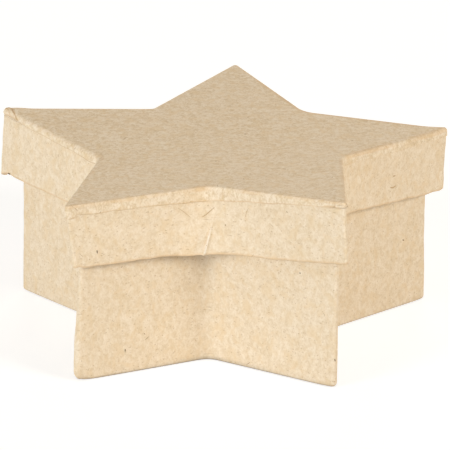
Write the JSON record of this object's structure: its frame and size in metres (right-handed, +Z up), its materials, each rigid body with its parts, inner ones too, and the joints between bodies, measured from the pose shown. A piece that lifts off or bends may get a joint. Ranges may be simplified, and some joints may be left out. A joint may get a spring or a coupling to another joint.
{
  "type": "papier-mache star box",
  "caption": "Star-shaped box of folded kraft card with a hollow base and a deep-skirted lid that lifts straight off, for keeping or giving small things.",
  "frame": {"origin": "middle of the star on the plane that the box stands on", "axes": "+Z up out of the lid, +Y along the arm that points away from the viewer of the picture, +X to the viewer's right"},
  "size_m": [0.1214, 0.1156, 0.05],
  "materials": {
    "kraft_card": "matte",
    "kraft_paper": "matte"
  },
  "bodies": {
    "base": {"base_wall": "kraft_card", "base_floor": "kraft_card"},
    "lid": {"lid_skirt": "kraft_card", "lid_panel": "kraft_card", "lid_paper": "kraft_paper"}
  },
  "joints": [
    {"name": "lid_lift", "type": "slide", "parent": "base", "child": "lid", "axis": [0, 0, 1], "range_m": [0, 0.06]}
  ]
}
